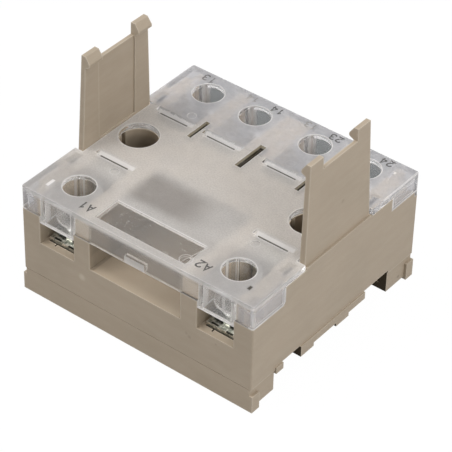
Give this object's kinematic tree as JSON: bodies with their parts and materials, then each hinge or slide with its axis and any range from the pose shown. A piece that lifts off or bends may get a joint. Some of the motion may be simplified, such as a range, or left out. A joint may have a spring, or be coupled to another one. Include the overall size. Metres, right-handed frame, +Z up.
{
  "type": "relay socket",
  "caption": "Rail or screw mounted socket for a plug-in power relay, with a clear terminal cover, screw terminals at front and back, and two hold-down hooks.",
  "frame": {"origin": "middle of the bottom, on the surface that the feet stand on", "axes": "+X along the width, -Y towards the face with the two coil terminals and the front pocket, +Z up towards the relay"},
  "size_m": [0.068, 0.0624, 0.0564],
  "materials": {
    "body_plastic": "satin",
    "base_plastic": "satin",
    "clear_cover": "satin",
    "lock_plastic": "satin",
    "spring_steel": "satin",
    "contact_metal": "satin",
    "clamp_steel": "satin",
    "screw_steel": "satin"
  },
  "bodies": {
    "socket_body": {"housing": "body_plastic", "base_plate": "base_plastic", "terminal_cover": "clear_cover", "lock_spring": "spring_steel", "contact_a1": "contact_metal", "contact_a2": "contact_metal", "contact_13": "contact_metal", "contact_14": "contact_metal", "contact_23": "contact_metal", "contact_24": "contact_metal"},
    "rail_lock": {"rail_lock": "lock_plastic"},
    "clamp_a1": {"clamp_a1": "clamp_steel"},
    "screw_a1": {"screw_a1": "screw_steel"},
    "clamp_a2": {"clamp_a2": "clamp_steel"},
    "screw_a2": {"screw_a2": "screw_steel"},
    "clamp_13": {"clamp_13": "clamp_steel"},
    "screw_13": {"screw_13": "screw_steel"},
    "clamp_14": {"clamp_14": "clamp_steel"},
    "screw_14": {"screw_14": "screw_steel"},
    "clamp_23": {"clamp_23": "clamp_steel"},
    "screw_23": {"screw_23": "screw_steel"},
    "clamp_24": {"clamp_24": "clamp_steel"},
    "screw_24": {"screw_24": "screw_steel"}
  },
  "joints": [
    {"name": "rail_lock_slide", "type": "slide", "parent": "socket_body", "child": "rail_lock", "axis": [0, 1, 0], "range_m": [0, 0.0025], "stiffness_N_per_m": 1500, "springref_m": -0.003, "deforming": ["lock_spring"]},
    {"name": "clamp_lift_a1", "type": "slide", "parent": "socket_body", "child": "clamp_a1", "axis": [0, 0, 1], "range_m": [0, 0.0027]},
    {"name": "screw_turn_a1", "type": "hinge", "parent": "clamp_a1", "child": "screw_a1", "pos_m": [-0.02315, -0.023, 0.0183], "axis": [0, 0, 1], "range_deg": [0, 1650]},
    {"name": "clamp_lift_a2", "type": "slide", "parent": "socket_body", "child": "clamp_a2", "axis": [0, 0, 1], "range_m": [0, 0.0027]},
    {"name": "screw_turn_a2", "type": "hinge", "parent": "clamp_a2", "child": "screw_a2", "pos_m": [0.02315, -0.023, 0.0183], "axis": [0, 0, 1], "range_deg": [0, 1650]},
    {"name": "clamp_lift_13", "type": "slide", "parent": "socket_body", "child": "clamp_13", "axis": [0, 0, 1], "range_m": [0, 0.0027]},
    {"name": "screw_turn_13", "type": "hinge", "parent": "clamp_13", "child": "screw_13", "pos_m": [-0.02315, 0.024, 0.0183], "axis": [0, 0, 1], "range_deg": [0, 1650]},
    {"name": "clamp_lift_14", "type": "slide", "parent": "socket_body", "child": "clamp_14", "axis": [0, 0, 1], "range_m": [0, 0.0027]},
    {"name": "screw_turn_14", "type": "hinge", "parent": "clamp_14", "child": "screw_14", "pos_m": [-0.0089, 0.024, 0.0183], "axis": [0, 0, 1], "range_deg": [0, 1650]},
    {"name": "clamp_lift_23", "type": "slide", "parent": "socket_body", "child": "clamp_23", "axis": [0, 0, 1], "range_m": [0, 0.0027]},
    {"name": "screw_turn_23", "type": "hinge", "parent": "clamp_23", "child": "screw_23", "pos_m": [0.0089, 0.024, 0.0183], "axis": [0, 0, 1], "range_deg": [0, 1650]},
    {"name": "clamp_lift_24", "type": "slide", "parent": "socket_body", "child": "clamp_24", "axis": [0, 0, 1], "range_m": [0, 0.0027]},
    {"name": "screw_turn_24", "type": "hinge", "parent": "clamp_24", "child": "screw_24", "pos_m": [0.02315, 0.024, 0.0183], "axis": [0, 0, 1], "range_deg": [0, 1650]}
  ],
  "couplings": [
    {"joint": "screw_turn_a1", "follows": "clamp_lift_a1", "rad_per_m": 10472},
    {"joint": "screw_turn_a2", "follows": "clamp_lift_a2", "rad_per_m": 10472},
    {"joint": "screw_turn_13", "follows": "clamp_lift_13", "rad_per_m": 10472},
    {"joint": "screw_turn_14", "follows": "clamp_lift_14", "rad_per_m": 10472},
    {"joint": "screw_turn_23", "follows": "clamp_lift_23", "rad_per_m": 10472},
    {"joint": "screw_turn_24", "follows": "clamp_lift_24", "rad_per_m": 10472}
  ]
}
